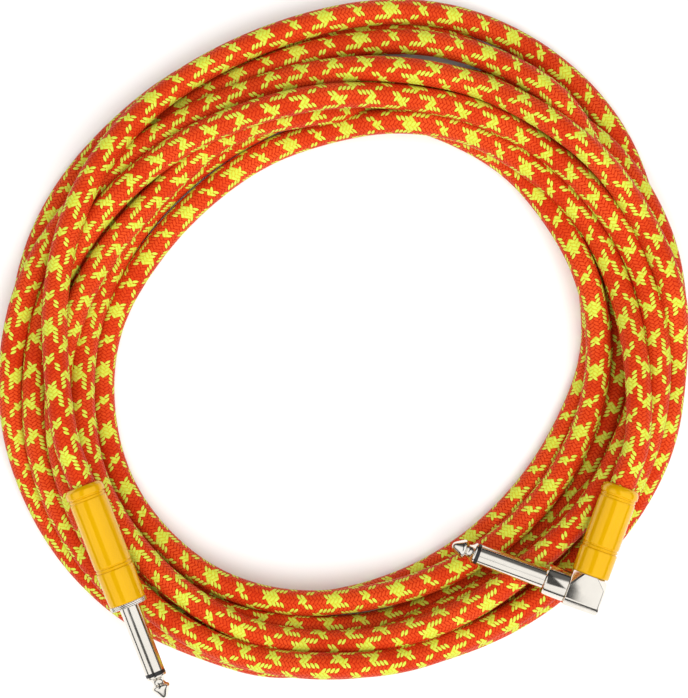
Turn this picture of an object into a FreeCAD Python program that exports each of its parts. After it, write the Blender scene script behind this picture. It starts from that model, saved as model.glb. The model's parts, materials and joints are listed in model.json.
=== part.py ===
import FreeCAD, Part
import math
import os

# Instrument cable: a braided round cord wound into a loose coil that lies flat, with a straight
# phone plug on one end and a right-angle phone plug on the other. Millimetres, Z up, floor at z = 0.
# The frame's origin is the centre of the whole part's footprint, on the floor.

V = FreeCAD.Vector

# ---------------------------------------------------------------- driving dimensions
CORD_R = 4.0            # outside of the woven cover, 8.0 mm across
JACKET_R = 3.0          # rubber jacket under the woven cover
DIELECTRIC_R = 1.5      # insulation round the conductor
CONDUCTOR_R = 0.40      # stranded copper conductor
PIGTAIL_R = 0.45        # twisted screen wires
SHAFT_R = 3.175         # 6.35 mm phone plug shaft
RING_L = 1.0            # black ring between sleeve and tip
TIP_L = 7.7             # tip contact, ahead of the black ring
SLEEVE_L = 21.6         # sleeve contact, collar face to black ring
SLEEVE_BORE = 1.9
ROD_R = 1.15            # rod of the tip contact
BOSS_R = 5.05           # threaded boss, drawn at its mean radius
SHELL_BORE = 5.10       # shell bore, 0.05 mm clear of the boss all round
LINER_R = 5.00
LINER_BORE = 4.60
REAR_HOLE_R = 4.08      # hole in the shell's rear wall, 0.08 mm clear of the cord
REAR_WALL = 2.4
CLAMP_R = 4.40          # outside of the strain-relief clamp

A_SHELL_L = 38.2        # straight plug's shell
A_SHELL_REAR_R = 6.12
A_SHELL_MID_R = 5.92
A_SHELL_FRONT_R = 5.80
A_COLLAR_R = 5.90
A_COLLAR_L = 1.4
A_AXIS_Z = 29.0         # height of the straight plug's axis
A_REAR = (-80.0, -42.1)
A_DIR = (0.362, -0.932)

B_SHELL_L = 28.9        # right-angle plug's shell
B_SHELL_R = 5.90
B_AXIS_Z = 26.0
B_REAR = (85.8, -42.4)
B_DIR = (-0.342, -0.940)
B_ELBOW = 5.9           # shell front to the shaft's axis
B_BLOCK_FAR = 5.4
B_BLOCK_SIDE = 5.6
B_BLOCK_BACK = 5.7
B_BLOCK_HALF_H = 5.6
B_COLLAR_R = 4.8
B_COLLAR_END = 12.7

COIL_TOP = 20.0
COIL_CENTRE = (0.78, 1.10)
# clock angle from +Y, outer radius, inner radius of the coil's outer shape
COIL_OUTLINE = [
    (2, 108.2, 64.9), (14, 111.2, 68.4), (26, 112.8, 70.5), (38, 113.0, 71.6), (50, 111.5, 72.6),
    (62, 108.1, 73.7), (74, 108.4, 74.4), (86, 107.2, 74.3), (98, 107.0, 71.4), (110, 106.9, 69.7),
    (122, 106.5, 68.7), (134, 105.4, 68.5), (146, 104.4, 69.0), (158, 103.4, 70.6), (170, 103.8, 72.7),
    (182, 105.0, 75.8), (194, 107.0, 78.5), (206, 109.3, 80.3), (218, 111.4, 80.7), (230, 112.4, 79.8),
    (242, 112.3, 77.5), (254, 111.3, 74.8), (266, 109.1, 71.8), (278, 106.2, 68.5), (290, 105.1, 64.4),
    (302, 104.0, 61.9), (314, 102.0, 60.7), (326, 101.3, 60.3), (338, 102.3, 60.8), (350, 104.7, 62.6)]
# offset that puts the whole part's footprint centre on the origin
OX, OY = 0.203, -1.324

nodes = {}


def cyl(r, z0, z1):
    return Part.makeCylinder(r, z1 - z0, V(0, 0, z0), V(0, 0, 1))


def xcyl(r, x0, x1, z):
    lo, hi = min(x0, x1), max(x0, x1)
    return Part.makeCylinder(r, hi - lo, V(lo, 0, z), V(1, 0, 0))


def box(x0, x1, y0, y1, z0, z1):
    return Part.makeBox(x1 - x0, y1 - y0, z1 - z0, V(x0, y0, z0))


def lathe(points):
    """Solid of revolution about local Z from (radius, z) points."""
    pts = [V(r, 0, z) for r, z in points]
    pts.append(pts[0])
    face = Part.Face(Part.makePolygon(pts))
    return face.revolve(V(0, 0, 0), V(0, 0, 1), 360)


def rod(points, r):
    """Bent wire: straight pieces joined by balls."""
    body = None
    for p, q in zip(points[:-1], points[1:]):
        p, q = V(*p), V(*q)
        d = q.sub(p)
        c = Part.makeCylinder(r, d.Length, p, d)
        body = c if body is None else body.fuse(c)
    for p in points[1:-1]:
        body = body.fuse(Part.makeSphere(r, V(*p)))
    return body.removeSplitter()


def frame_of(direction, rear, height):
    """Local Z along the shell towards its front, local Y up."""
    n = math.hypot(direction[0], direction[1])
    ez = V(direction[0] / n, direction[1] / n, 0)
    ey = V(0, 0, 1)
    ex = ey.cross(ez)
    m = FreeCAD.Matrix(ex.x, ey.x, ez.x, rear[0] + OX,
                       ex.y, ey.y, ez.y, rear[1] + OY,
                       ex.z, ey.z, ez.z, height,
                       0, 0, 0, 1)
    return m


def place(name, shape, m):
    s = shape.copy()
    pl = FreeCAD.Placement(m)
    s.Placement = pl.multiply(s.Placement)
    nodes[name] = s


def tip_profile(z0):
    """Tip contact: flange, waist, round bulb and blunt nose, from the black ring forward."""
    return [(0.0, z0), (SHAFT_R, z0), (SHAFT_R, z0 + 0.75), (2.05, z0 + 2.3), (2.0, z0 + 2.7),
            (2.25, z0 + 3.0), (2.78, z0 + 3.45), (2.92, z0 + 3.9), (2.88, z0 + 4.35), (2.55, z0 + 5.1),
            (1.55, z0 + 6.65), (1.05, z0 + 7.35), (0.55, z0 + TIP_L), (0.0, z0 + TIP_L)]


def clamp_and_strip(z_ring_back, ring_in, ring_out, strip_end):
    """Ground lug: a ring, a strip along the bottom and a claw wrapped round the cord."""
    ring = cyl(ring_out, z_ring_back, z_ring_back + 0.5).cut(cyl(ring_in, z_ring_back - 1, z_ring_back + 2))
    strip = box(-1.2, 1.2, -CLAMP_R, -CORD_R, 11.0, strip_end)
    claw = cyl(CLAMP_R, 8.0, 12.0).cut(cyl(CORD_R, 7.0, 13.0))
    gap = box(-1.6, 1.6, 2.0, 6.0, 7.0, 13.0)
    claw = claw.cut(gap)
    strip = strip.cut(cyl(CORD_R, 10.0, 12.5))
    return ring.fuse(strip).fuse(claw).removeSplitter()


# ---------------------------------------------------------------- straight plug
mA = frame_of(A_DIR, A_REAR, A_AXIS_Z)
L = A_SHELL_L
shell = lathe([(REAR_HOLE_R, 0.35), (4.35, 0.0), (5.55, 0.0), (5.95, 0.18), (A_SHELL_REAR_R, 0.6), (A_SHELL_REAR_R, 3.0),
               (5.82, 3.25), (5.82, 3.55), (A_SHELL_MID_R, 3.8), (A_SHELL_MID_R, 26.4), (5.74, 26.6), (5.74, 27.0),
               (5.90, 27.2), (A_SHELL_FRONT_R, L - 0.3), (A_SHELL_FRONT_R - 0.25, L), (SHELL_BORE, L),
               (SHELL_BORE, REAR_WALL), (REAR_HOLE_R, REAR_WALL)])
place("straight_plug_shell", shell, mA)
place("straight_plug_liner", cyl(LINER_R, REAR_WALL, 27.0).cut(cyl(LINER_BORE, 0, 30)), mA)
BOSS0 = 30.2
c0, c1 = L, L + A_COLLAR_L
s1 = c1 + SLEEVE_L
body = lathe([(SLEEVE_BORE, BOSS0), (BOSS_R - 0.3, BOSS0), (BOSS_R, BOSS0 + 0.3), (BOSS_R, c0), (A_COLLAR_R - 0.15, c0),
              (A_COLLAR_R, c0 + 0.15), (A_COLLAR_R, c1 - 0.3), (A_COLLAR_R - 0.3, c1), (SHAFT_R, c1), (SHAFT_R, s1), (SLEEVE_BORE, s1)])
place("straight_plug_body", body, mA)
ins = lathe([(ROD_R, 28.9), (SLEEVE_BORE, 28.9), (SLEEVE_BORE, s1), (SHAFT_R, s1), (SHAFT_R, s1 + RING_L), (ROD_R, s1 + RING_L)])
place("straight_plug_insulator", ins, mA)
tip = lathe(tip_profile(s1 + RING_L)).fuse(cyl(ROD_R, 27.6, s1 + RING_L)).fuse(cyl(1.6, 27.6, 28.4)).removeSplitter()
place("straight_plug_tip", tip, mA)
place("straight_plug_washer", cyl(4.0, 28.9, 29.7).cut(cyl(SLEEVE_BORE, 28, 31)), mA)
lug = cyl(2.6, 28.4, 28.9).fuse(box(-0.8, 0.8, 2.2, 2.6, 23.4, 28.7)).removeSplitter()
place("straight_plug_tip_lug", lug.cut(cyl(ROD_R, 28.0, 29.2)), mA)
place("straight_plug_ground_lug", clamp_and_strip(29.7, SLEEVE_BORE, CLAMP_R, 30.2), mA)
place("straight_plug_jacket_end", cyl(JACKET_R, 12.5, 15.5), mA)
place("straight_plug_dielectric", cyl(DIELECTRIC_R, 15.5, 20.5), mA)
place("straight_plug_conductor", rod([(0, 0, 20.5), (0, 0, 21.4), (0, 1.8, 23.8), (0, 1.8, 26.8)], CONDUCTOR_R), mA)
place("straight_plug_screen_pigtail", rod([(0, -2.3, 15.5), (0, -2.4, 16.7), (0, -3.55, 19.2), (0, -3.55, 23.2)], PIGTAIL_R), mA)


def blob(c, r, stretch):
    s = Part.makeSphere(r, V(0, 0, 0))
    g = FreeCAD.Matrix()
    g.scale(1, 1, stretch)
    s = s.transformGeometry(g)
    s.translate(V(*c))
    return s


place("straight_plug_tip_solder", blob((0, 1.85, 25.2), 0.75, 1.6), mA)
place("straight_plug_ground_solder", blob((0, -3.6, 22.2), 0.78, 1.6), mA)

# ---------------------------------------------------------------- right-angle plug
mB = frame_of(B_DIR, B_REAR, B_AXIS_Z)
L = B_SHELL_L
shell = lathe([(REAR_HOLE_R, 0.35), (4.35, 0.0), (5.35, 0.0), (5.75, 0.18), (B_SHELL_R, 0.6), (B_SHELL_R, 2.9),
               (5.66, 3.1), (5.66, 3.4), (B_SHELL_R - 0.06, 3.6), (B_SHELL_R - 0.04, L - 8.6), (5.66, L - 8.4), (5.66, L - 8.1),
               (B_SHELL_R, L - 7.9), (B_SHELL_R, L - 0.4), (B_SHELL_R - 0.3, L), (SHELL_BORE, L),
               (SHELL_BORE, REAR_WALL), (REAR_HOLE_R, REAR_WALL)])
place("angled_plug_shell", shell, mB)
place("angled_plug_liner", cyl(LINER_R, REAR_WALL, 21.0).cut(cyl(LINER_BORE, 0, 30)), mB)
ZC = L + B_ELBOW
z0, z1 = L, ZC + B_BLOCK_FAR
side, back, hh = B_BLOCK_SIDE, B_BLOCK_BACK, B_BLOCK_HALF_H


def prism_y(pts, h):
    f = Part.Face(Part.makePolygon([V(x, -h, z) for x, z in pts] + [V(pts[0][0], -h, pts[0][1])]))
    return f.extrude(V(0, 2 * h, 0))


def prism_x(pts, a, b):
    f = Part.Face(Part.makePolygon([V(a, y, z) for y, z in pts] + [V(a, pts[0][0], pts[0][1])]))
    return f.extrude(V(b - a, 0, 0))


def prism_z(pts, a, b):
    f = Part.Face(Part.makePolygon([V(x, y, a) for x, y in pts] + [V(pts[0][0], pts[0][1], a)]))
    return f.extrude(V(0, 0, b - a))


plan = prism_y([(-side, z0), (back - 1.2, z0), (back, z0 + 1.2), (back, z1 - 0.5), (back - 0.5, z1), (-side + 0.5, z1), (-side, z1 - 0.5)], hh)
elev = prism_x([(-hh + 0.5, z0), (hh - 0.5, z0), (hh, z0 + 0.5), (hh, z1 - 2.3), (hh - 2.3, z1), (-hh + 2.3, z1), (-hh, z1 - 2.3), (-hh, z0 + 0.5)], -side, back)
sect = prism_z([(-side, -hh + 0.5), (-side + 0.5, -hh), (back - 0.9, -hh), (back, -hh + 0.9), (back, hh - 0.9), (back - 0.9, hh), (-side + 0.5, hh), (-side, hh - 0.5)], z0, z1)
block = plan.common(elev).common(sect)
# sloped facet at the corner over the shell, above and below
for s in (1, -1):
    n = V(1, s * 1.0, -1)
    n.normalize()
    pc = V(3.4, s * hh, ZC - 4.2)
    cutter = Part.makeBox(30, 30, 10, V(-15, -15, 0))
    cutter.Placement = FreeCAD.Placement(pc, FreeCAD.Rotation(V(0, 0, 1), n))
    block = block.cut(cutter)
# longer sloped facet at the corner between the shell and the shaft, above and below
for s in (1, -1):
    n = V(-0.813, s * 0.8, -0.582)
    n.normalize()
    pc = V(-5.85, s * hh, ZC - 0.9)
    cutter = Part.makeBox(30, 30, 10, V(-15, -15, 0))
    cutter.Placement = FreeCAD.Placement(pc, FreeCAD.Rotation(V(0, 0, 1), n))
    block = block.cut(cutter)
boss = lathe([(3.6, 21.9), (BOSS_R - 0.3, 21.9), (BOSS_R, 22.2), (BOSS_R, L), (3.6, L)])
block = block.fuse(boss)
block = block.cut(cyl(3.6, 20.0, ZC + 3.6))
block = block.cut(xcyl(3.6, -side - 1, back + 1, ZC))
block = block.cut(xcyl(4.4, back - 1.2, back + 1, ZC))
place("angled_plug_housing", block.removeSplitter(), mB)
cap = xcyl(4.4, back - 1.2, back, ZC).cut(box(back - 0.5, back + 0.5, -3.4, 3.4, ZC - 0.45, ZC + 0.45))
place("angled_plug_rear_cap", cap, mB)


def xlathe(points, z):
    """Solid of revolution about the shaft's axis from (radius, distance towards the tip) points."""
    s = lathe(points)
    s.rotate(V(0, 0, 0), V(0, 1, 0), -90)
    s.translate(V(0, 0, z))
    return s


e1 = B_COLLAR_END
t1 = e1 + SLEEVE_L
place("angled_plug_body", xlathe([(SLEEVE_BORE, 3.6), (3.6, 3.6), (3.6, side), (B_COLLAR_R, side), (B_COLLAR_R, e1 - 0.5),
                                  (B_COLLAR_R - 0.5, e1), (SHAFT_R, e1), (SHAFT_R, t1), (SLEEVE_BORE, t1)], ZC), mB)
place("angled_plug_insulator", xlathe([(ROD_R, 2.4), (SLEEVE_BORE, 2.4), (SLEEVE_BORE, t1), (SHAFT_R, t1), (SHAFT_R, t1 + RING_L), (ROD_R, t1 + RING_L)], ZC), mB)
tip = lathe(tip_profile(t1 + RING_L)).fuse(cyl(ROD_R, 1.1, t1 + RING_L)).fuse(cyl(1.6, 1.1, 1.9)).removeSplitter()
tip.rotate(V(0, 0, 0), V(0, 1, 0), -90)
tip.translate(V(0, 0, ZC))
place("angled_plug_tip", tip, mB)
place("angled_plug_washer", xlathe([(SLEEVE_BORE, 2.4), (3.4, 2.4), (3.4, 3.6), (SLEEVE_BORE, 3.6)], ZC), mB)
lug = xcyl(2.4, -1.9, -2.4, ZC).fuse(box(-2.4, -1.9, -0.8, 0.8, ZC - 6.2, ZC - 1.5)).cut(xcyl(ROD_R, 0, -4, ZC)).removeSplitter()
place("angled_plug_tip_lug", lug, mB)
place("angled_plug_ground_lug", clamp_and_strip(21.4, 3.6, CLAMP_R, 21.9), mB)
place("angled_plug_jacket_end", cyl(JACKET_R, 12.5, 15.5), mB)
place("angled_plug_dielectric", cyl(DIELECTRIC_R, 15.5, 26.0), mB)
place("angled_plug_conductor", rod([(0, 0, 26.0), (0, 0, 26.8), (-1.5, 0, 28.8), (-1.5, 0, 31.4)], CONDUCTOR_R), mB)
place("angled_plug_screen_pigtail", rod([(0, -2.3, 15.5), (0, -2.4, 16.3), (0, -3.55, 18.0), (0, -3.55, 20.8)], PIGTAIL_R), mB)
place("angled_plug_tip_solder", blob((-1.55, 0, 30.0), 0.75, 1.5), mB)
place("angled_plug_ground_solder", blob((0, -3.6, 19.8), 0.78, 1.4), mB)


# ---------------------------------------------------------------- cord
def world(m, p):
    return m.multVec(V(*p))


def tube(name, pts, r):
    """Round tube through pts: straight runs joined by tangent arcs."""
    edges = []
    start = pts[0]
    length = 0.0
    radii = []
    for k in range(1, len(pts) - 1):
        a, b, c = pts[k - 1], pts[k], pts[k + 1]
        u, v = b.sub(a), c.sub(b)
        lu, lv = u.Length, v.Length
        u.normalize()
        v.normalize()
        turn = math.acos(max(-1.0, min(1.0, u.dot(v))))
        setback = 0.45 * min(lu, lv)
        R = setback / math.tan(turn / 2)
        radii.append(round(R, 1))
        p, q = b.sub(u * setback), b.add(v * setback)
        bis = v.sub(u)
        bis.normalize()
        centre = b.add(bis * (R / math.cos(turn / 2)))
        mid = centre.sub(bis * R)
        edges.append(Part.makeLine(start, p))
        edges.append(Part.Arc(p, mid, q).toShape())
        length += start.distanceToPoint(p) + R * turn
        start = q
    edges.append(Part.makeLine(start, pts[-1]))
    length += start.distanceToPoint(pts[-1])
    path = Part.Wire(edges)
    d = pts[1].sub(pts[0])
    prof = Part.Wire([Part.makeCircle(r, pts[0], d)])
    s = path.makePipeShell([prof], True, False, 2)
    print(name, "bend radii", radii, "length", round(length, 1),
          "volume ratio", round(s.Volume / (math.pi * r * r * length), 4), s.isValid())
    nodes[name] = s
    return s


def w(x, y, z):
    return V(x + OX, y + OY, z)


tube("straight_plug_lead", [world(mA, (0, 0, 12.5)), world(mA, (0, 0, -16.0)), w(-88.6, 2.5, 25.0), w(-87.0, 27.0, 21.5)], CORD_R)
tube("angled_plug_lead", [world(mB, (0, 0, 12.5)), world(mB, (0, 0, -16.0)), w(90.9, 2.0, 23.5), w(83.6, 25.5, 21.0)], CORD_R)


def ring_wire(k, z, inset):
    pts = []
    for row in COIL_OUTLINE:
        a = math.radians(row[0])
        r = row[k] + inset
        pts.append(V(COIL_CENTRE[0] + r * math.sin(a) + OX, COIL_CENTRE[1] + r * math.cos(a) + OY, z))
    c = Part.BSplineCurve()
    c.interpolate(pts, PeriodicFlag=True)
    return Part.Wire([c.toShape()])


def ring_slab(z0, z1, inset):
    f = Part.Face([ring_wire(1, z0, -inset), ring_wire(2, z0, inset)])
    f.validate()
    return f.extrude(V(0, 0, z1 - z0))


coil = ring_slab(0.0, 2.0, 2.0).fuse(ring_slab(2.0, COIL_TOP - 5.0, 0.0)).fuse(ring_slab(COIL_TOP - 5.0, COIL_TOP, 4.5))
nodes["cable_coil"] = coil

os.makedirs("parts", exist_ok=True)
allb = None
for name, s in nodes.items():
    if s.ShapeType == "Compound" and len(s.Solids) == 1:
        s = s.Solids[0]
    n = len(s.Solids)
    if n != 1 or not s.isValid():
        print("CHECK", name, s.ShapeType, n, s.isValid())
    s.exportStep("parts/" + name + ".step")
    bb = s.BoundBox
    allb = bb if allb is None else allb.united(bb)
print(len(nodes), "nodes")
print("box", round(allb.XMin, 3), round(allb.XMax, 3), round(allb.YMin, 3), round(allb.YMax, 3), round(allb.ZMin, 3), round(allb.ZMax, 3))
for v_name, m in (("A", mA), ("B", mB)):
    print(v_name, "origin", [round(q, 4) for q in m.multVec(V(0, 0, 0))], "dir", [round(q, 5) for q in m.multVec(V(0, 0, 1)).sub(m.multVec(V(0, 0, 0)))])
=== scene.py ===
import bpy, bmesh, json, math
import numpy as np
from mathutils import Matrix, Vector


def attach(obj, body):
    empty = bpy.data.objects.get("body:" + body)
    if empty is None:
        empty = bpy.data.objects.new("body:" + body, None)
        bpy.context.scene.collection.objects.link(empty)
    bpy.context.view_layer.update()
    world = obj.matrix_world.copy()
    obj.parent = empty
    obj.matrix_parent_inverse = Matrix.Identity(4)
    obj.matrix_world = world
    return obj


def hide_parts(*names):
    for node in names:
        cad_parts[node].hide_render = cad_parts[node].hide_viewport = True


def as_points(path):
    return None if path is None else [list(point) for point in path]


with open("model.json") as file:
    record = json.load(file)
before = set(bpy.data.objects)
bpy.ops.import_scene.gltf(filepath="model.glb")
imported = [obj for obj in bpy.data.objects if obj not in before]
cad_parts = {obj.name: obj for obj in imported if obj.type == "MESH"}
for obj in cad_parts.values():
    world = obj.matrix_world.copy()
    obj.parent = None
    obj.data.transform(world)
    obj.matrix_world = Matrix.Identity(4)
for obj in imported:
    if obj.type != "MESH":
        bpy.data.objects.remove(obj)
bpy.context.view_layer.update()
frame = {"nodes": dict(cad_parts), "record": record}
NODES = frame["nodes"]

# ------------------------------------------------------------------ frame of the two plugs
OX, OY = 0.203, -1.324
SKY_LOW, SKY_DIM, SKY_BRIGHT = 0.035, 0.12, 1.22
KEY, TOP = 8.0, 10.0


def plug_frame(direction, rear, height):
    n = math.hypot(*direction)
    ez = Vector((direction[0] / n, direction[1] / n, 0.0))
    ey = Vector((0, 0, 1))
    ex = ey.cross(ez)
    m = Matrix(((ex.x, ey.x, ez.x, (rear[0] + OX) / 1000), (ex.y, ey.y, ez.y, (rear[1] + OY) / 1000),
                (ex.z, ey.z, ez.z, height / 1000), (0, 0, 0, 1)))
    return m


MA = plug_frame((0.362, -0.932), (-80.0, -42.1), 29.0)
MB = plug_frame((-0.342, -0.940), (85.8, -42.4), 26.0)

# ------------------------------------------------------------------ small node-tree helper
class Mat:
    def __init__(self, name):
        self.m = bpy.data.materials.new(name)
        self.m.use_nodes = True
        self.t = self.m.node_tree
        self.t.nodes.clear()
        self.out = self.t.nodes.new("ShaderNodeOutputMaterial")
        self.b = self.t.nodes.new("ShaderNodeBsdfPrincipled")
        self.t.links.new(self.b.outputs[0], self.out.inputs[0])

    def n(self, kind, **props):
        x = self.t.nodes.new(kind)
        for k, v in props.items():
            setattr(x, k, v)
        return x

    def put(self, sock, value):
        if isinstance(value, bpy.types.NodeSocket):
            self.t.links.new(value, sock)
        else:
            sock.default_value = value

    def math(self, op, a, b=None, c=None, clamp=False):
        x = self.n("ShaderNodeMath", operation=op, use_clamp=clamp)
        self.put(x.inputs[0], a)
        if b is not None:
            self.put(x.inputs[1], b)
        if c is not None:
            self.put(x.inputs[2], c)
        return x.outputs[0]

    def mix(self, f, a, b):
        x = self.n("ShaderNodeMix", data_type="RGBA")
        self.put(x.inputs[0], f)
        self.put(x.inputs[6], a)
        self.put(x.inputs[7], b)
        return x.outputs[2]

    def blend(self, f, a, b):
        x = self.n("ShaderNodeMix", data_type="FLOAT")
        self.put(x.inputs[0], f)
        self.put(x.inputs[2], a)
        self.put(x.inputs[3], b)
        return x.outputs[0]

    def noise(self, scale, detail=2.0, rough=0.5, vec=None, dims="3D"):
        x = self.n("ShaderNodeTexNoise", noise_dimensions=dims)
        x.inputs["Scale"].default_value = scale
        x.inputs["Detail"].default_value = detail
        x.inputs["Roughness"].default_value = rough
        if vec is not None:
            self.put(x.inputs["Vector"], vec)
        return x.outputs["Fac"]

    def obj(self):
        return self.n("ShaderNodeTexCoord").outputs["Object"]

    def ramp(self, f, lo, hi, a=0.0, b=1.0):
        x = self.n("ShaderNodeMapRange", clamp=True)
        self.put(x.inputs[0], f)
        for k, v in ((1, lo), (2, hi), (3, a), (4, b)):
            x.inputs[k].default_value = v
        return x.outputs[0]

    def bump(self, height, strength, dist):
        x = self.n("ShaderNodeBump")
        x.inputs["Strength"].default_value = strength
        x.inputs["Distance"].default_value = dist
        self.put(x.inputs["Height"], height)
        self.t.links.new(x.outputs[0], self.b.inputs["Normal"])
        return x

    def set(self, **kw):
        for k, v in kw.items():
            self.put(self.b.inputs[k.replace("_", " ")], v)


def lin(r, g, b):
    f = lambda c: (c / 255 / 12.92) if c / 255 <= 0.04045 else ((c / 255 + 0.055) / 1.055) ** 2.4
    return (f(r), f(g), f(b), 1.0)


# ------------------------------------------------------------------ materials
YARNS = 16
PITCH = 20.0          # mm of cord per full turn of a yarn


def braid_material():
    """16 yarns each way, over two and under two; wide and narrow bands of yellow-green among orange-red."""
    m = Mat("woven_cover")
    uv = m.n("ShaderNodeUVMap", uv_map="braid").outputs[0]
    sep = m.n("ShaderNodeSeparateXYZ")
    m.put(sep.inputs[0], uv)
    around, along = sep.outputs[0], sep.outputs[1]          # turns, pitches
    a = m.math("MULTIPLY", m.math("SUBTRACT", around, along), float(YARNS))
    b = m.math("MULTIPLY", m.math("ADD", around, along), float(YARNS))
    ia, ib = m.math("FLOOR", a), m.math("FLOOR", b)
    fa, fb = m.math("FRACT", a), m.math("FRACT", b)
    par = m.math("MODULO", m.math("ADD", m.math("ADD", ia, ib), 4000.0), 4.0)
    a_top = m.math("LESS_THAN", par, 1.5)
    ka = m.math("FLOORED_MODULO", ia, float(YARNS))
    kb = m.math("FLOORED_MODULO", ib, float(YARNS))

    def yellow(k):
        wide = m.math("LESS_THAN", k, 3.5)
        nar = m.math("MULTIPLY", m.math("GREATER_THAN", k, 8.5), m.math("LESS_THAN", k, 10.5))
        return m.math("ADD", wide, nar, clamp=True)
    ya, yb = yellow(ka), yellow(kb)
    across = m.blend(a_top, fb, fa)
    # place along the float from the crossing count, 0 at one end and 1 at the other
    step = m.math("MODULO", par, 2.0)
    pos_a = m.math("MULTIPLY", m.math("ADD", step, fb), 0.5)
    pos_b = m.math("MULTIPLY", m.math("ADD", step, fa), 0.5)
    pos = m.blend(a_top, pos_b, pos_a)
    # each float narrows to a blunt point where it dives under its neighbours
    tip = m.math("MINIMUM", pos, m.math("SUBTRACT", 1.0, pos))
    half = m.ramp(tip, 0.0, 0.30, 0.14, 0.45)
    off = m.math("ABSOLUTE", m.math("SUBTRACT", across, 0.5))
    cover = m.math("LESS_THAN", off, half)
    own = m.blend(a_top, yb, ya)
    top_y = m.math("MULTIPLY", own, m.math("MAXIMUM", cover, m.blend(a_top, ya, yb)))
    rel = m.math("MINIMUM", m.math("DIVIDE", off, half), 1.0)
    prof = m.math("POWER", m.math("SUBTRACT", 1.0, m.math("MULTIPLY", rel, rel)), 0.4)
    crown = m.math("POWER", m.math("MAXIMUM", m.math("SINE", m.math("MULTIPLY", pos, math.pi)), 0.0), 0.5)
    height = m.math("MULTIPLY", prof, m.math("ADD", m.math("MULTIPLY", crown, 0.65), 0.35))
    # fine filaments lying along each yarn
    fil = m.math("SINE", m.math("MULTIPLY", across, 2 * math.pi * 3.0))
    height2 = m.math("ADD", height, m.math("MULTIPLY", fil, 0.10))
    # per-yarn tone, so that no two yarns are quite the same
    wn = m.n("ShaderNodeTexWhiteNoise", noise_dimensions="2D")
    comb = m.n("ShaderNodeCombineXYZ")
    m.put(comb.inputs[0], m.blend(a_top, m.math("ADD", kb, 40.0), ka))
    m.put(comb.inputs[1], m.math("FLOOR", m.blend(a_top, ia, ib)))
    m.put(wn.inputs["Vector"], comb.outputs[0])
    tone = wn.outputs["Value"]
    big = m.noise(45.0, 2.0, 0.5, m.obj())
    red = m.mix(tone, RED_A, RED_B)
    red = m.mix(m.ramp(big, 0.35, 0.65), red, RED_C)
    yel = m.mix(tone, YEL_A, YEL_B)
    col = m.mix(top_y, red, yel)
    # painted shade: yarn edges and the gaps between floats are darkened in the colour itself, following the yarn height
    edge = m.ramp(height, 0.05, 0.55, 0.0, 1.0)
    dark = m.mix(top_y, SHADE_GAP_R, SHADE_GAP_Y)
    col = m.mix(edge, dark, col)
    m.set(Base_Color=col)
    m.set(Roughness=m.blend(edge, 0.85, 0.45))
    # smooth filaments catch the light along the yarn, so the two hands of yarn differ in brightness
    tan = m.n("ShaderNodeTangent", direction_type="UV_MAP", uv_map="braid")
    m.put(m.b.inputs["Tangent"], tan.outputs[0])
    m.b.inputs["Anisotropic"].default_value = 0.75
    m.put(m.b.inputs["Anisotropic Rotation"], m.blend(a_top, 0.893, 0.107))
    m.b.inputs["Specular IOR Level"].default_value = 0.5
    m.put(m.b.inputs["Specular Tint"], m.mix(top_y, (1.0, 0.36, 0.16, 1.0), (1.0, 0.95, 0.40, 1.0)))
    m.b.inputs["Sheen Weight"].default_value = 0.0
    m.b.inputs["Sheen Roughness"].default_value = 0.4
    m.bump(height2, 0.55, 0.00020)
    return m.m


RED_A = lin(208, 60, 18)
RED_B = lin(196, 46, 12)
RED_C = lin(218, 74, 28)
YEL_A = lin(208, 224, 80)
YEL_B = lin(202, 214, 66)
# painted shade colours for the yarn edges and the gaps between floats
SHADE_GAP_R = lin(182, 36, 10)
SHADE_GAP_Y = lin(206, 190, 46)


def yellow_paint():
    m = Mat("yellow_enamel")
    co = m.obj()
    big = m.noise(60.0, 3.0, 0.5, co)
    col = m.mix(m.ramp(big, 0.3, 0.7), lin(221, 167, 0), lin(215, 161, 0))
    m.set(Base_Color=col)
    fine = m.noise(900.0, 2.0, 0.5, co)
    m.set(Roughness=m.ramp(m.noise(220.0, 3.0, 0.6, co), 0.3, 0.7, 0.10, 0.16))
    m.b.inputs["Coat Weight"].default_value = 0.2
    m.b.inputs["Coat Roughness"].default_value = 0.06
    m.b.inputs["Specular IOR Level"].default_value = 0.45
    m.b.inputs["Metallic"].default_value = 0.12
    m.put(m.b.inputs["Specular Tint"], (1.0, 0.85, 0.35, 1.0))
    m.bump(fine, 0.05, 0.0001)
    return m.m


def nickel(name="nickel_plate", knurl=False):
    m = Mat(name)
    co = m.obj()
    big = m.noise(35.0, 3.0, 0.5, co)
    m.set(Base_Color=m.mix(m.ramp(big, 0.3, 0.7), lin(226, 221, 212), lin(214, 208, 198)))
    m.set(Metallic=1.0)
    m.set(Roughness=m.ramp(m.noise(400.0, 4.0, 0.6, co), 0.3, 0.7, 0.09, 0.17))
    m.bump(m.noise(1500.0, 2.0, 0.5, co), 0.03, 0.00005)
    return m.m


def plastic(name, a, b, rough=(0.3, 0.45), bump=0.05, scale=300.0, metallic=0.0, alpha=1.0):
    m = Mat(name)
    co = m.obj()
    m.set(Base_Color=m.mix(m.ramp(m.noise(scale * 0.3, 3.0, 0.5, co), 0.3, 0.7), a, b))
    m.set(Metallic=metallic)
    m.set(Roughness=m.ramp(m.noise(scale, 3.0, 0.6, co), 0.3, 0.7, rough[0], rough[1]))
    m.bump(m.noise(scale * 3, 2.0, 0.5, co), bump, 0.0001)
    return m.m


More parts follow.
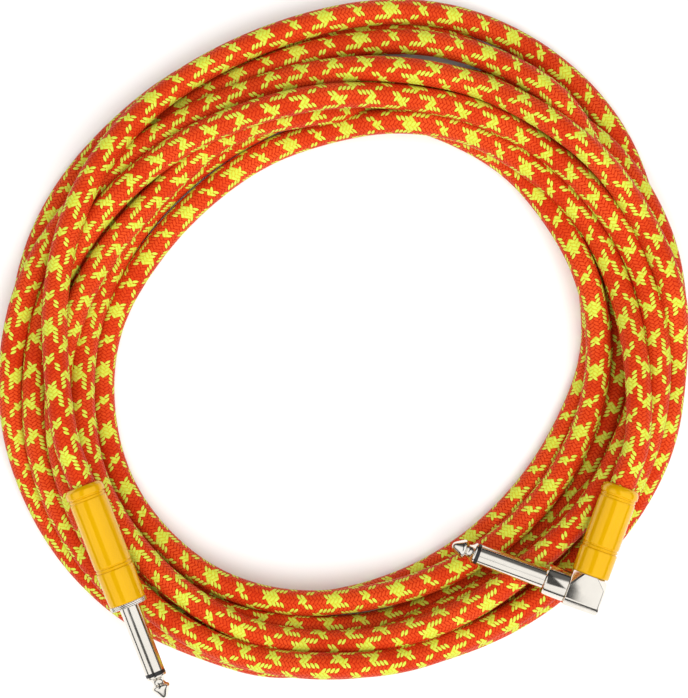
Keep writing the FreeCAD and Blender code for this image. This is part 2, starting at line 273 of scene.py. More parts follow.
M = {
    "woven_cover": braid_material(),
    "yellow_paint": yellow_paint(),
    "nickel_plate": nickel(),
    "black_insulator": plastic("black_insulator", lin(16, 16, 17), lin(24, 23, 23), (0.25, 0.4)),
    "liner_film": plastic("liner_film", lin(225, 224, 218), lin(212, 210, 204), (0.35, 0.5)),
    "fibre_washer": plastic("fibre_washer", lin(150, 62, 40), lin(120, 44, 28), (0.6, 0.8), 0.2),
    "tinned_brass": plastic("tinned_brass", lin(205, 200, 186), lin(190, 182, 160), (0.22, 0.4), 0.08, 300.0, 1.0),
    "rubber_jacket": plastic("rubber_jacket", lin(26, 26, 27), lin(34, 34, 34), (0.6, 0.75), 0.15),
    "dielectric": plastic("dielectric", lin(236, 235, 228), lin(226, 224, 214), (0.4, 0.5)),
    "bare_copper": plastic("bare_copper", lin(220, 130, 84), lin(198, 108, 66), (0.25, 0.4), 0.3, 500.0, 1.0),
    "solder": plastic("solder", lin(190, 190, 188), lin(168, 168, 166), (0.25, 0.5), 0.3, 250.0, 1.0),
}
slot_of = {s["node"]: s["material_slot"] for s in frame["record"]["subparts"]}
for name, o in NODES.items():
    mat = M[slot_of[name]]
    if not o.data.materials:
        o.data.materials.append(mat)
    for k in range(len(o.data.materials)):
        o.data.materials[k] = mat
    for s in o.material_slots:
        s.material = mat


# ------------------------------------------------------------------ mesh helpers
def add(name, verts, faces, mat, body, smooth=True, sharp=None):
    me = bpy.data.meshes.new(name)
    me.from_pydata([tuple(v) for v in verts], [], faces)
    me.validate()
    bm = bmesh.new()
    bm.from_mesh(me)
    bmesh.ops.recalc_face_normals(bm, faces=bm.faces)
    bm.to_mesh(me)
    bm.free()
    for p in me.polygons:
        p.use_smooth = smooth
    if sharp is not None:
        me.set_sharp_from_angle(angle=math.radians(sharp))
    me.materials.append(mat)
    o = bpy.data.objects.new(name, me)
    bpy.context.scene.collection.objects.link(o)
    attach(o, body)
    return o


def rounded(points, r=0.12, n=3):
    """Rounds each corner of a closed (radius, z) outline by up to r, with n steps."""
    out = []
    N = len(points)
    for k in range(N):
        p0, p, p1 = np.array(points[k - 1], float), np.array(points[k], float), np.array(points[(k + 1) % N], float)
        a, b = p0 - p, p1 - p
        la, lb = np.linalg.norm(a), np.linalg.norm(b)
        if la < 1e-9 or lb < 1e-9 or (p[0] == 0.0):
            out.append(tuple(p))
            continue
        d = min(r, la * 0.4, lb * 0.4)
        pa, pb = p + a / la * d, p + b / lb * d
        for j in range(n + 1):
            t = j / n
            q = (1 - t) ** 2 * pa + 2 * t * (1 - t) * p + t * t * pb
            out.append((float(q[0]), float(q[1])))
    return out


def lathe(name, outline, m, mat, body, seg=128, round_r=0.12, steps=3, sharp=30, displace=None, axis=None):
    """Closed solid of revolution. outline is a closed (radius, z) loop in mm about the local Z of m."""
    pts = rounded(outline, round_r, steps) if round_r else list(outline)
    verts, rings = [], []
    for r, z in pts:
        if abs(r) < 1e-9:
            rings.append([len(verts)] * seg)
            verts.append((0.0, 0.0, z))
        else:
            base = len(verts)
            for k in range(seg):
                a = 2 * math.pi * k / seg
                rr = r if displace is None else r + displace(r, z, a)
                verts.append((rr * math.cos(a), rr * math.sin(a), z))
            rings.append([base + k for k in range(seg)])
    faces = []
    n = len(rings)
    for i in range(n):
        A, B = rings[i], rings[(i + 1) % n]
        if A[0] == A[-1] and B[0] == B[-1]:
            continue
        for k in range(seg):
            k2 = (k + 1) % seg
            if A[0] == A[-1]:
                faces.append((A[0], B[k], B[k2]))
            elif B[0] == B[-1]:
                faces.append((A[k], B[0], A[k2]))
            else:
                faces.append((A[k], B[k], B[k2], A[k2]))
    out = []
    for v in verts:
        p = Vector(v)
        if axis is not None:
            p = axis @ p
        out.append(m @ (p / 1000))
    return add(name, out, faces, mat, body, True, sharp)


# ------------------------------------------------------------------ cord
# route of the woven cord, in mm: out of the straight plug, round the coil, into the right-angle plug
ROUTE = [
    (-75.27, -55.08, 29), (-80.88, -40.63, 29), (-85.59, -28.51, 29), (-88.79, -5.21, 24.51), (-89.36, 17.67, 19.79), (-83.78, 40.94, 20.1),
    (-72.92, 61.61, 16.83), (-57.07, 78.12, 10.97), (-36.35, 90.43, 12.39), (-14.57, 99.19, 11.1), (8.48, 104.44, 9.91), (31.94, 104.15, 6.12),
    (54.15, 96.34, 4), (73.52, 82.52, 4.24), (88.01, 63.9, 4), (95.76, 40.97, 4.04), (100.16, 18.62, 4), (95.8, -5.38, 4.01),
    (91, -28.55, 4), (84.61, -49.93, 4), (66.24, -67.93, 4), (48.56, -80.73, 4), (26.06, -92.89, 4), (4.88, -97.36, 4),
    (-19.89, -92.87, 4), (-42.4, -88.75, 4), (-63.54, -77.07, 4), (-79.8, -59.73, 4), (-92.42, -40.1, 4), (-100.33, -17.39, 4),
    (-101.74, 6.03, 4), (-97.37, 29.53, 4), (-86.45, 50.5, 4), (-70.57, 68.12, 4), (-52.1, 82.83, 4), (-30.58, 92.77, 4),
    (-7.41, 97.77, 4), (16.02, 99.13, 4), (39.79, 94.15, 4), (58.74, 80.87, 4), (72.88, 60.68, 4), (82.01, 40.07, 4),
    (87.02, 15.85, 4), (88.63, -6.63, 4), (81.87, -30.56, 4), (72.24, -51.05, 4.02), (54.08, -67.64, 4), (34.32, -79.82, 4.12),
    (12.05, -88.47, 4), (-10.32, -89.5, 11.72), (-33.85, -86.26, 10.41), (-56.06, -76.29, 10.67), (-72.55, -60.66, 10.87), (-84.6, -38.27, 12.4),
    (-86.93, -16.47, 10.41), (-85.24, 6.87, 4), (-80.39, 29.43, 4.51), (-65.66, 49.53, 4), (-49.34, 65.26, 4.09), (-27.78, 77.18, 4),
    (-5.58, 82.62, 4.02), (18.95, 81.48, 4), (40.7, 75.05, 4), (61.66, 60.82, 4), (73.4, 42.23, 4), (78.75, 17.32, 4),
    (79.6, -4.75, 4), (70.08, -28.13, 4), (57.56, -47.08, 4), (39.98, -63.88, 4), (19.77, -75.4, 4), (-3.21, -82.02, 4),
    (-26.86, -82.52, 4), (-49.7, -75.48, 4), (-68.53, -60.98, 4), (-82.38, -41.85, 4), (-91.79, -19.88, 4), (-94.02, 3.53, 4.02),
    (-89.81, 27.13, 4), (-77.59, 47.32, 4.08), (-62.09, 65.4, 4), (-42.75, 78.9, 4.51), (-21.33, 88.07, 9.13), (1.38, 94.05, 10.94),
    (25.36, 95.2, 11.78), (47.59, 89.29, 12.01), (68.32, 76.34, 19.67), (79.07, 56.74, 14.79), (90.11, 36.69, 5.79), (92.64, 13.43, 10.27),
    (95.03, -10.82, 11.16), (87.65, -31.65, 16.92), (76.31, -52.07, 18.54), (58.78, -68.44, 18.89), (39.9, -82.35, 18.49), (17.61, -91.08, 18.76),
    (-5.83, -93.37, 18.96), (-29.21, -89.98, 17.69), (-50.01, -77.9, 18.91), (-66.7, -61.44, 17.88), (-78.37, -40.35, 18.9), (-81.74, -17.13, 16.81),
    (-80.35, 5.62, 10.13), (-71.92, 27.35, 4.5), (-57.78, 46, 4.01), (-39.33, 61.46, 4), (-18.82, 72.06, 6.65), (1.79, 81.54, 13.58),
    (26.4, 84.28, 9.1), (48.62, 80.88, 10.47), (70.75, 70.73, 10.13), (88, 56.62, 10.32), (99.91, 34.56, 12.6), (104.35, 13.36, 9.35),
    (104.63, -12.6, 4), (94.75, -30.64, 9.45), (77.34, -47.06, 10.7), (63.04, -65.26, 10.85), (42.35, -78.8, 11.15), (21.81, -88.38, 10.59),
    (-0.97, -97.44, 11.63), (-21.41, -102.62, 4), (-46.1, -94.99, 4.05), (-66.59, -85.39, 4), (-84.55, -69.08, 4.07), (-97.01, -49.05, 4),
    (-103.62, -26.89, 9.28), (-103.99, -3.11, 11.53), (-98.69, 19.87, 12.06), (-86.3, 40.17, 10.51), (-69.51, 56.81, 12.27), (-50.02, 70.25, 11.08),
    (-28.44, 79.58, 13.42), (-5.69, 85.46, 16.28), (17.47, 85.7, 19.92), (41.54, 81.56, 15.32), (61.62, 71, 22.82), (80.06, 57.01, 23.86),
    (93.55, 38.75, 17.67), (103.22, 16.05, 20.34), (104.22, -5.36, 10.13), (100.88, -29.89, 13.6), (92.22, -50.38, 4.89), (77.44, -68.9, 4),
    (58.93, -84.14, 4), (38.08, -93.64, 7.76), (14.95, -99.22, 13.22), (-6.59, -100.78, 17.95), (-30.7, -98.32, 10.79), (-53.08, -90.66, 12.28),
    (-72.14, -76.47, 11.36), (-86.53, -57.66, 10.48), (-95.29, -35.58, 12.29), (-96.64, -12.12, 14.59), (-93.42, 11.35, 10.94), (-82.53, 32.48, 13.25),
    (-67.27, 50.01, 17.42), (-48, 64.19, 16.29), (-25.87, 72.54, 22.1), (-4.15, 77.11, 23.31), (19.32, 77.34, 15.65), (42.78, 72.5, 16.34),
    (63.52, 61.45, 14.11), (80.16, 45.28, 18.07), (93.03, 25.41, 14.47), (98.09, 2.32, 17.94), (97.38, -22.02, 19.71), (90.71, -43.52, 14.62),
    (78.01, -63.03, 10.83), (61.17, -80.24, 11.8), (40.54, -91, 15.06), (18.72, -98.38, 20.38), (-4.15, -99.22, 26.44), (-27.43, -98.05, 19.26),
    (-49.84, -89.15, 19.98), (-67.86, -74.22, 18.22), (-81.44, -54.59, 17.22), (-88.38, -32, 19.79), (-88.96, -8.25, 17.02), (-82.56, 14.34, 15.23),
    (-70.55, 33.7, 12.63), (-54.1, 51.19, 11.34), (-35.72, 67.24, 12.64), (-11.24, 71.95, 15.28), (6.81, 74.54, 4.58), (28.19, 70.32, 4.03),
    (51.24, 58.7, 4), (65.75, 42.2, 8.14), (76.94, 21.75, 12.9), (81.03, -1.97, 11.54), (76.86, -25.3, 10.32), (65.35, -46.13, 9.23),
    (48.58, -62.85, 10.13), (27.9, -74.47, 11.39), (4.95, -80.33, 12.03), (-18.74, -81.38, 11.87), (-41.44, -74.33, 11.43), (-60.02, -59.42, 8.05),
    (-72.41, -40.21, 4), (-76.94, -16.21, 4.28), (-73.97, 7.11, 4), (-61.82, 27.99, 4.05), (-46.51, 45.17, 4), (-26.65, 59.9, 4),
    (-5.37, 67.54, 4), (16.75, 70.67, 13.51), (40.26, 67.15, 10.83), (60.92, 54.79, 11.79), (78.04, 38.36, 11.11), (87.27, 16.84, 14),
    (91.04, -4.91, 22.65), (91.47, -28.69, 26), (87.03, -40.9, 26), (81.73, -55.47, 26),
]

# how far the woven cover is turned (turns) and slipped along (pitches), every 20 mm from the straight plug
COVER = [
    (0.194, 0.891), (0.194, 0.901), (0.198, 0.906), (0.207, 0.906), (0.208, 0.903), (0.203, 0.892), (0.195, 0.888), (0.194, 0.876),
    (0.192, 0.875), (0.181, 0.875), (0.169, 0.875), (0.158, 0.865), (0.153, 0.853), (0.153, 0.844), (0.150, 0.844), (0.138, 0.844),
    (0.128, 0.844), (0.122, 0.885), (0.116, 0.927), (0.110, 0.969), (0.104, 1.010), (0.098, 1.052), (0.092, 1.094), (0.084, 1.094),
    (0.087, 1.094), (0.096, 1.094), (0.097, 1.066), (0.099, 1.038), (0.100, 1.009), (0.102, 0.981), (0.103, 0.953), (0.105, 0.925),
    (0.107, 0.897), (0.108, 0.869), (0.110, 0.841), (0.111, 0.813), (0.111, 0.813), (0.108, 0.813), (0.099, 0.814), (0.116, 0.829),
    (0.133, 0.843), (0.150, 0.857), (0.166, 0.871), (0.161, 0.875), (0.196, 0.875), (0.232, 0.875), (0.268, 0.875), (0.304, 0.875),
    (0.339, 0.875), (0.375, 0.875), (0.375, 0.875), (0.359, 0.875), (0.297, 0.862), (0.250, 0.845), (0.227, 0.833), (0.224, 0.814),
    (0.249, 0.770), (0.294, 0.736), (0.304, 0.734), (0.304, 0.734), (0.304, 0.734), (0.305, 0.734), (0.305, 0.734), (0.305, 0.734),
    (0.305, 0.734), (0.306, 0.734), (0.284, 0.737), (0.262, 0.740), (0.240, 0.742), (0.218, 0.745), (0.196, 0.747), (0.174, 0.750),
    (0.152, 0.753), (0.130, 0.755), (0.108, 0.758), (0.086, 0.760), (0.064, 0.763), (0.042, 0.766), (0.040, 0.769), (0.030, 0.780),
    (0.023, 0.781), (0.015, 0.781), (0.011, 0.781), (-0.051, 0.778), (-0.112, 0.774), (-0.128, 0.738), (-0.143, 0.703), (-0.159, 0.667),
    (-0.174, 0.631), (-0.190, 0.596), (-0.205, 0.560), (-0.221, 0.524), (-0.236, 0.489), (-0.251, 0.453), (-0.267, 0.453), (-0.286, 0.453),
    (-0.297, 0.456), (-0.305, 0.468), (-0.306, 0.466), (-0.306, 0.454), (-0.306, 0.453), (-0.316, 0.453), (-0.401, 0.450), (-0.485, 0.447),
    (-0.570, 0.444), (-0.655, 0.441), (-0.740, 0.438), (-0.764, 0.451), (-0.778, 0.476), (-0.789, 0.507), (-0.792, 0.526), (-0.792, 0.542),
    (-0.795, 0.559), (-0.813, 0.563), (-0.817, 0.566), (-0.807, 0.579), (-0.812, 0.598), (-0.809, 0.631), (-0.806, 0.640), (-0.814, 0.641),
    (-0.820, 0.641), (-0.832, 0.652), (-0.860, 0.665), (-0.885, 0.672), (-0.868, 0.687), (-0.850, 0.703), (-0.832, 0.719), (-0.815, 0.734),
    (-0.797, 0.750), (-0.779, 0.766), (-0.778, 0.766), (-0.778, 0.766), (-0.778, 0.766), (-0.791, 0.762), (-0.803, 0.758), (-0.816, 0.754),
    (-0.828, 0.750), (-0.841, 0.746), (-0.853, 0.742), (-0.866, 0.739), (-0.879, 0.735), (-0.891, 0.731), (-0.904, 0.727), (-0.916, 0.723),
    (-0.929, 0.719), (-0.931, 0.723), (-0.939, 0.744), (-0.954, 0.765), (-0.971, 0.793), (-0.983, 0.819), (-0.986, 0.842), (-0.987, 0.866),
    (-0.997, 0.935), (-1.000, 0.958), (-1.010, 0.978), (-1.028, 0.987), (-1.041, 0.999), (-1.042, 0.994), (-1.042, 0.976), (-1.042, 0.945),
    (-1.050, 0.938), (-1.060, 0.939), (-1.077, 0.949), (-1.093, 0.946), (-1.086, 0.925), (-1.094, 0.922), (-1.097, 0.917), (-1.063, 0.893),
    (-1.030, 0.868), (-0.996, 0.843), (-0.988, 0.817), (-0.980, 0.792), (-0.972, 0.766), (-0.983, 0.766), (-1.016, 0.768), (-1.057, 0.832),
    (-1.097, 0.896), (-1.097, 0.906), (-1.091, 0.907), (-1.073, 0.919), (-1.069, 0.930), (-1.075, 0.955), (-1.090, 0.970), (-1.116, 0.981),
    (-1.152, 0.984), (-1.169, 0.975), (-1.179, 0.969), (-1.181, 0.962), (-1.186, 0.947), (-1.193, 0.932), (-1.183, 0.922), (-1.181, 0.928),
    (-1.182, 0.937), (-1.192, 0.943), (-1.201, 0.953), (-1.218, 0.953), (-1.222, 0.953), (-1.222, 0.938), (-1.222, 0.937), (-1.222, 0.937),
    (-1.222, 0.927), (-1.219, 0.909), (-1.209, 0.906), (-1.208, 0.906), (-1.208, 0.906), (-1.208, 0.906), (-1.234, 0.948), (-1.236, 0.953),
    (-1.241, 0.955), (-1.249, 0.968), (-1.241, 0.983), (-1.236, 1.020), (-1.236, 1.014), (-1.234, 1.006), (-1.201, 1.068), (-1.140, 1.140),
    (-1.045, 1.230), (-0.955, 1.261), (-0.877, 1.288), (-0.879, 1.293), (-0.897, 1.294), (-0.917, 1.300), (-0.926, 1.309), (-0.930, 1.314),
    (-0.924, 1.331), (-0.917, 1.344), (-0.917, 1.356), (-0.917, 1.366), (-0.917, 1.371), (-0.917, 1.371), (-0.917, 1.373), (-0.917, 1.382),
    (-0.915, 1.393), (-0.907, 1.416), (-0.898, 1.448), (-0.881, 1.488), (-0.882, 1.529), (-0.906, 1.565), (-0.915, 1.587), (-0.910, 1.588),
    (-0.922, 1.580), (-0.951, 1.574), (-0.961, 1.574), (-0.978, 1.574), (-0.998, 1.572), (-0.995, 1.556), (-0.997, 1.524), (-1.026, 1.512),
    (-1.041, 1.512), (-1.042, 1.512), (-1.042, 1.512),
]


def route_curve():
    cu = bpy.data.curves.new("cord_line", "CURVE")
    cu.dimensions = "3D"
    sp = cu.splines.new("NURBS")
    sp.points.add(len(ROUTE) - 1)
    for p, (x, y, z) in zip(sp.points, ROUTE):
        p.co = (x / 1000, y / 1000, z / 1000, 1.0)
    sp.order_u = 3
    sp.use_endpoint_u = True
    sp.resolution_u = 16
    o = bpy.data.objects.new("cord_line", cu)
    bpy.context.scene.collection.objects.link(o)
    bpy.context.view_layer.update()
    me = bpy.data.meshes.new_from_object(o)
    co = np.array([v.co[:] for v in me.vertices])
    bpy.data.objects.remove(o)
    bpy.data.meshes.remove(me)
    return co


LINE = route_curve()
seg_len = np.linalg.norm(np.diff(LINE, axis=0), axis=1)
keep = np.r_[True, seg_len > 1e-7]
LINE = LINE[keep]
S = np.r_[0, np.cumsum(np.linalg.norm(np.diff(LINE, axis=0), axis=1))]
CORD_R = 0.004


def frames(P):
    """Tangent, up and right-hand side at every station; the cord is nowhere near upright."""
    T = np.gradient(P, axis=0)
    T /= np.linalg.norm(T, axis=1)[:, None]
    R = np.cross(T, [0, 0, 1.0])
    R /= np.linalg.norm(R, axis=1)[:, None]
    return T, np.cross(R, T), R


def cord_mesh(around=40):
    T, U, W = frames(LINE)
    n = len(LINE)
    ang = 2 * math.pi * np.arange(around) / around
    # the woven cover turns slowly along the cord
    at = np.arange(len(COVER)) * 20.0
    spin = np.interp(S * 1000, at, [c[0] for c in COVER])
    slip = np.interp(S * 1000, at, [c[1] for c in COVER])
    co = np.zeros((n, around, 3))
    for k, a in enumerate(ang):
        co[:, k] = LINE + CORD_R * (math.cos(a) * U + math.sin(a) * W)
    verts = co.reshape(-1, 3)
    idx = np.arange(n * around).reshape(n, around)
    a0, a1 = idx[:-1], idx[1:]
    quads = np.stack([a0, np.roll(a0, -1, 1), np.roll(a1, -1, 1), a1], -1).reshape(-1, 4)
    me = bpy.data.meshes.new("woven_cord")
    caps = [tuple(idx[0][::-1]), tuple(idx[-1])]
    nv, nq = len(verts), len(quads)
    me.vertices.add(nv)
    me.vertices.foreach_set("co", verts.astype(np.float32).ravel())
    loops = np.concatenate([quads.ravel(), np.array(caps[0]), np.array(caps[1])]).astype(np.int32)
    me.loops.add(len(loops))
    me.loops.foreach_set("vertex_index", loops)
    start = np.concatenate([np.arange(nq) * 4, [nq * 4, nq * 4 + around]]).astype(np.int32)
    me.polygons.add(nq + 2)
    me.polygons.foreach_set("loop_start", start)
    me.polygons.foreach_set("use_smooth", np.r_[np.ones(nq, bool), [False, False]])
    me.update(calc_edges=True)
    me.validate()
    uvl = me.uv_layers.new(name="braid")
    v_al = S * 1000 / PITCH + slip
    ring = np.repeat(np.arange(n - 1), around)
    col = np.tile(np.arange(around), n - 1)
    sp_ = spin
    uvs = np.zeros((nq, 4, 2))
    for c, (dr, dc) in enumerate(((0, 0), (0, 1), (1, 1), (1, 0))):
        uvs[:, c, 0] = (col + dc) / around + sp_[ring + dr]
        uvs[:, c, 1] = v_al[ring + dr]
    flat = np.zeros((len(loops), 2), np.float32)
    flat[: nq * 4] = uvs.reshape(-1, 2)
    uvl.data.foreach_set("uv", flat.ravel())
    me.materials.append(M["woven_cover"])
    o = bpy.data.objects.new("woven_cord", me)
    bpy.context.scene.collection.objects.link(o)
    return o


cord = cord_mesh()
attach(cord, "cable")
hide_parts("cable_coil", "straight_plug_lead", "angled_plug_lead")

# ------------------------------------------------------------------ straight plug
SH, RB = 3.175, 5.10
A = 38.2
shellA = lathe("straight_plug_shell_painted", [
    (4.10, 0.35), (4.35, 0.0), (5.05, 0.0), (5.35, 0.14), (5.75, 0.62), (6.02, 1.0), (6.12, 1.35), (6.12, 2.9), (5.98, 3.1), (5.62, 3.25),
    (5.60, 3.55), (5.82, 3.75), (5.84, 4.0), (5.64, 4.2), (5.64, 4.4), (5.90, 4.65), (5.92, 5.1), (5.92, 25.4), (5.90, 25.75), (5.62, 25.95), (5.62, 26.2),
    (5.88, 26.4), (5.90, 26.75), (5.62, 26.95), (5.62, 27.2), (5.94, 27.4), (5.97, 27.8), (5.97, 28.6), (5.80, A - 0.35), (5.62, A), (RB, A), (RB, 2.4), (4.10, 2.4)],
    MA, M["yellow_paint"], "straight_shell", 144, 0.10, 3, 40)
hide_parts("straight_plug_shell")

K_N = 46


def knurl(z0, z1, radius):
    def f(r, z, a):
        if r < radius - 0.25 or z < z0 or z > z1:
            return 0.0
        t = (K_N * a / (2 * math.pi) + (z - z0) * 1.15) % 1.0
        return -0.22 * (1 - abs(2 * t - 1))
    return f


c0, c1 = A, A + 1.4
s1 = c1 + 21.6
band = [(5.90, c0 + 0.12 + k * (1.16 / 8)) for k in range(9)]
bodyA = lathe("straight_plug_collar_and_sleeve", [(1.9, 30.2), (4.75, 30.2), (5.05, 30.5), (5.05, c0), (5.70, c0)] + band +
              [(5.55, c1), (SH + 0.25, c1), (SH + 0.02, c1 + 0.12), (SH, c1 + 0.3), (SH, s1 - 0.08), (SH - 0.08, s1), (1.9, s1)],
              MA, M["nickel_plate"], "cable", 460, 0.0, 3, 35, displace=knurl(c0 + 0.1, c1 - 0.1, 5.9))
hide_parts("straight_plug_body")


def ring_outline(z0, z1, back):
    return [(1.15, back), (1.9, back), (1.9, z0), (SH - 0.05, z0), (SH, z0 + 0.08), (SH, z1 - 0.08), (SH - 0.05, z1), (1.15, z1)]


def tip_outline(z, back, head):
    prof = [(SH - 0.1, z), (SH, z + 0.1), (SH, z + 0.62), (SH - 0.12, z + 0.75), (2.62, z + 1.1), (2.2, z + 1.62), (1.95, z + 2.15), (1.88, z + 2.55),
            (1.98, z + 2.85), (2.3, z + 3.15), (2.7, z + 3.42), (2.88, z + 3.75), (2.92, z + 4.1), (2.84, z + 4.45), (2.62, z + 4.9), (2.1, z + 5.75),
            (1.55, z + 6.6), (1.15, z + 7.15), (0.85, z + 7.45), (0.5, z + 7.63), (0.2, z + 7.7), (0.0, z + 7.7)]
    rodp = [(0.0, back), (1.6, back), (1.6, head), (1.15, head), (1.15, z)]
    return rodp + prof


ringA = lathe("straight_plug_black_ring", ring_outline(s1, s1 + 1.0, 28.9), MA, M["black_insulator"], "cable", 96, 0.0)
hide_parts("straight_plug_insulator")
tipA = lathe("straight_plug_tip_contact", tip_outline(s1 + 1.0, 27.6, 28.4), MA, M["nickel_plate"], "cable", 128, 0.0, 3, 50)
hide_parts("straight_plug_tip")

# ------------------------------------------------------------------ right-angle plug
Bl = 28.9
shellB = lathe("angled_plug_shell_painted", [
    (4.10, 0.35), (4.35, 0.0), (4.70, 0.05), (5.15, 0.32), (5.55, 0.85), (5.80, 1.4), (5.90, 1.95), (5.90, 2.8), (5.78, 3.0), (5.44, 3.15),
    (5.42, 3.45), (5.64, 3.65), (5.66, 3.95), (5.46, 4.15), (5.46, 4.35), (5.72, 4.6), (5.76, 5.0), (5.76, Bl - 9.9), (5.72, Bl - 9.6), (5.46, Bl - 9.4), (5.46, Bl - 9.15),
    (5.72, Bl - 8.95), (5.74, Bl - 8.6), (5.46, Bl - 8.4), (5.46, Bl - 8.15), (5.84, Bl - 7.95), (5.90, Bl - 7.6), (5.90, Bl - 0.4), (5.65, Bl), (RB, Bl), (RB, 2.4), (4.10, 2.4)],
    MB, M["yellow_paint"], "angled_shell", 144, 0.10, 3, 40)
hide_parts("angled_plug_shell")
ZC = Bl + 5.9
TURN = Matrix.Translation((0, 0, ZC)) @ Matrix.Rotation(-math.pi / 2, 4, "Y")
e1 = 12.7
t1 = e1 + 21.6
bodyB = lathe("angled_plug_collar_and_sleeve", [(1.9, 3.6), (3.6, 3.6), (3.6, 5.6), (4.62, 5.6), (4.8, 5.78), (4.8, e1 - 0.5), (4.62, e1 - 0.12), (4.3, e1), (SH + 0.2, e1),
                                                (SH, e1 + 0.2), (SH, t1 - 0.08), (SH - 0.08, t1), (1.9, t1)],
              MB, M["nickel_plate"], "cable", 160, 0.0, 3, 35, axis=TURN)
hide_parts("angled_plug_body")
ringB = lathe("angled_plug_black_ring", ring_outline(t1, t1 + 1.0, 2.4), MB, M["black_insulator"], "cable", 96, 0.0, axis=TURN)
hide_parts("angled_plug_insulator")
tipB = lathe("angled_plug_tip_contact", tip_outline(t1 + 1.0, 1.1, 1.9), MB, M["nickel_plate"], "cable", 128, 0.0, 3, 50, axis=TURN)
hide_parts("angled_plug_tip")


def convex(planes):
    """Corner points of the convex solid that lies inside every plane (normal, offset)."""
    P = np.array([list(n) + [d] for n, d in planes], float)
    pts = []
    for i in range(len(P)):
        for j in range(i):
            for k in range(j):
                Amat = P[[i, j, k], :3]
                if abs(np.linalg.det(Amat)) < 1e-6:
                    continue
                x = np.linalg.solve(Amat, P[[i, j, k], 3])
                if (P[:, :3] @ x <= P[:, 3] + 1e-6).all():
                    pts.append(x)
    return pts


def evaluated(o, name):
    dg = bpy.context.evaluated_depsgraph_get()
    me = bpy.data.meshes.new_from_object(o.evaluated_get(dg))
    me.name = name
    old = o.data
    o.modifiers.clear()
    o.data = me
    bpy.data.meshes.remove(old)
    return o


def raw_lathe(name, outline, seg=96):
    verts, faces = [], []
    for r, z in outline:
        for k in range(seg):
            an = 2 * math.pi * k / seg
            verts.append((r * math.cos(an), r * math.sin(an), z))
    n = len(outline)
    for i in range(n - 1):
        for k in range(seg):
            k2 = (k + 1) % seg
            faces.append((i * seg + k, i * seg + k2, (i + 1) * seg + k2, (i + 1) * seg + k))
    faces.append(tuple(range(seg))[::-1])
    faces.append(tuple((n - 1) * seg + k for k in range(seg)))
    me = bpy.data.meshes.new(name)
    me.from_pydata(verts, [], faces)
    o = bpy.data.objects.new(name, me)
    bpy.context.scene.collection.objects.link(o)
    bpy.context.view_layer.update()
    return o


def elbow():
    zf, zb = Bl, ZC + 5.4
    hh, side, back = 5.6, 5.6, 5.7
    r2 = math.sqrt(0.5)
    planes = [((0, 0, -1), -zf), ((0, 0, 1), zb), ((1, 0, 0), back), ((-1, 0, 0), side), ((0, 1, 0), hh), ((0, -1, 0), hh)]
    for sgn in (1, -1):
        planes.append(((0, sgn * r2, r2), (hh - 2.3 + zb) * r2))           # far long edge
        planes.append(((r2, sgn * r2, 0), (hh - 0.9 + back) * r2))         # back edge
        n = np.array((1.0, sgn * 1.0, -1.0)); n /= np.linalg.norm(n)
        planes.append((tuple(n), float(n @ np.array((3.4, sgn * hh, ZC - 4.2)))))   # sloped corner facet
        n = np.array((-0.813, sgn * 0.8, -0.582)); n /= np.linalg.norm(n)
        planes.append((tuple(n), float(n @ np.array((-5.85, sgn * hh, ZC - 0.9)))))   # longer facet beside the shaft
    planes.append(((r2, 0, -r2), (back - zf - 1.2) * r2))
    planes.append(((r2, 0, r2), (back + zb - 0.5) * r2))
    planes.append(((-r2, 0, r2), (side + zb - 0.5) * r2))
    bm = bmesh.new()
    pts = convex(planes)
    uniq = []
    for p in pts:
        if all(np.linalg.norm(p - q) > 1e-3 for q in uniq):
            uniq.append(p)
    for p in uniq:
        bm.verts.new(tuple(p))
    bmesh.ops.convex_hull(bm, input=bm.verts)
    bmesh.ops.dissolve_limit(bm, angle_limit=math.radians(1.0), verts=bm.verts, edges=bm.edges)
    bmesh.ops.bevel(bm, geom=list(bm.edges), offset=0.62, offset_type="OFFSET", segments=6, profile=0.5, affect="EDGES", clamp_overlap=True)
    bmesh.ops.triangulate(bm, faces=[f for f in bm.faces if len(f.verts) > 4])
    bmesh.ops.recalc_face_normals(bm, faces=bm.faces)
    me = bpy.data.meshes.new("angled_plug_elbow")
    bm.to_mesh(me)
    bm.free()
    o = bpy.data.objects.new("angled_plug_elbow", me)
    bpy.context.scene.collection.objects.link(o)
    boss = raw_lathe("t_boss", [(4.8, 21.9), (5.05, 22.15), (5.05, Bl + 1.0)])
    bore = raw_lathe("t_bore", [(3.6, 20.0), (3.6, ZC + 3.4)])
    cross = raw_lathe("t_cross", [(3.6, -7.0), (3.6, 5.0)])
    seat = raw_lathe("t_seat", [(4.42, 4.5), (4.42, 7.0)])
    for q in (cross, seat):
        q.matrix_world = Matrix.Translation((0, 0, ZC)) @ Matrix.Rotation(math.pi / 2, 4, "Y")
    bpy.context.view_layer.update()
    for q, op in ((boss, "UNION"), (bore, "DIFFERENCE"), (cross, "DIFFERENCE"), (seat, "DIFFERENCE")):
        md = o.modifiers.new("b", "BOOLEAN")
        md.operation = op
        md.solver = "EXACT"
        md.object = q
    evaluated(o, "angled_plug_elbow")
    for q in (boss, bore, cross, seat):
        bpy.data.objects.remove(q)
    me = o.data
    me.transform(MB @ Matrix.Scale(0.001, 4))
    for p in me.polygons:
        p.use_smooth = True
    me.set_sharp_from_angle(angle=math.radians(38))
    me.materials.clear()
    me.materials.append(M["nickel_plate"])
    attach(o, "cable")
    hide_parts("angled_plug_housing")
    return o


elbow_o = elbow()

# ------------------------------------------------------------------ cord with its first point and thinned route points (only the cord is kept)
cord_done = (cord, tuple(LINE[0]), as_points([tuple(p) for p in LINE[::3]] + [tuple(LINE[-1])]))[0]

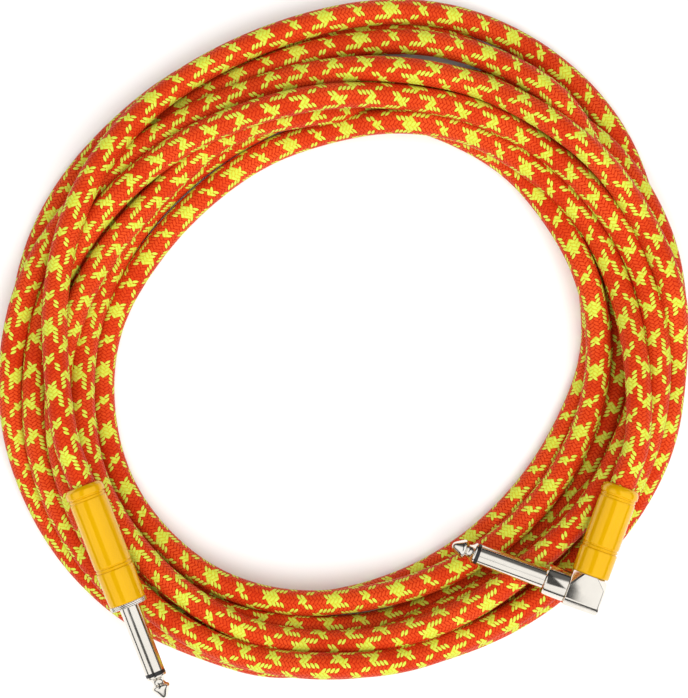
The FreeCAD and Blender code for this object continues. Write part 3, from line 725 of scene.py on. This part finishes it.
# ------------------------------------------------------------------ floor, light, camera
me = bpy.data.meshes.new("floor")
me.from_pydata([(-3, -3, 0), (3, -3, 0), (3, 3, 0), (-3, 3, 0)], [], [(0, 1, 2, 3)])
floor = bpy.data.objects.new("floor", me)
bpy.context.scene.collection.objects.link(floor)
fm = Mat("floor_paper")
fm.set(Base_Color=(0.96, 0.96, 0.96, 1.0), Roughness=0.9)
fm.b.inputs["Specular IOR Level"].default_value = 0.1
me.materials.append(fm.m)

bpy.context.scene.view_settings.view_transform = "Standard"
world = bpy.data.worlds.new("studio")
bpy.context.scene.world = world
world.use_nodes = True
wt = world.node_tree
bg = wt.nodes["Background"]
tc = wt.nodes.new("ShaderNodeTexCoord")
sx = wt.nodes.new("ShaderNodeSeparateXYZ")
wt.links.new(tc.outputs["Generated"], sx.inputs[0])


def sky(src, lo, hi, v0, v1):
    x = wt.nodes.new("ShaderNodeMapRange")
    x.interpolation_type = "SMOOTHSTEP"
    wt.links.new(src, x.inputs[0])
    for k, v in ((1, lo), (2, hi), (3, v0), (4, v1)):
        x.inputs[k].default_value = v
    return x.outputs[0]


def wmath(op, p, q):
    x = wt.nodes.new("ShaderNodeMath")
    x.operation = op
    for k, v in ((0, p), (1, q)):
        if isinstance(v, float):
            x.inputs[k].default_value = v
        else:
            wt.links.new(v, x.inputs[k])
    return x.outputs[0]


# bright overhead, cut off near the horizon and on the far side, with one dark flag just left of straight up
far = sky(sx.outputs[1], 0.42, 0.66, SKY_BRIGHT, SKY_DIM)
rise = sky(sx.outputs[2], 0.20, 0.36, 0.0, 1.0)
side = sky(wmath("ABSOLUTE", wmath("ADD", sx.outputs[0], 0.235), 0.0), 0.19, 0.24, 0.04, 1.0)
clear = sky(sx.outputs[1], -0.36, -0.27, 1.0, 0.0)
flag = wmath("MAXIMUM", side, clear)
wt.links.new(wmath("ADD", wmath("MULTIPLY", wmath("MULTIPLY", far, rise), flag), SKY_LOW), bg.inputs[1])
bg.inputs[0].default_value = (1.0, 1.0, 1.0, 1.0)


def area(name, loc, size, power, aim=(0, 0, 0), size_y=None):
    L = bpy.data.lights.new(name, "AREA")
    L.energy = power
    L.shape = "RECTANGLE"
    L.size = size
    L.size_y = size_y or size
    o = bpy.data.objects.new(name, L)
    o.location = loc
    o.rotation_euler = (Vector(aim) - Vector(loc)).to_track_quat("-Z", "Y").to_euler()
    o.visible_glossy = False
    bpy.context.scene.collection.objects.link(o)
    return o


area("key", (0.40, -0.62, 1.25), 1.0, KEY)
area("top", (0.0, 0.0, 1.7), 1.4, TOP)

cam = bpy.data.cameras.new("camera")
cam.sensor_fit = "HORIZONTAL"
cam.sensor_width = 36.0
cam.lens = 36.0 * 0.900 / (688 * 0.3168 / 1000)
cam.dof.use_dof = False
co = bpy.data.objects.new("camera", cam)
co.location = ((OX + 0.16) / 1000, (OY - 0.16) / 1000, 0.900)
co.rotation_euler = (0, 0, 0)
bpy.context.scene.collection.objects.link(co)
bpy.context.scene.camera = co
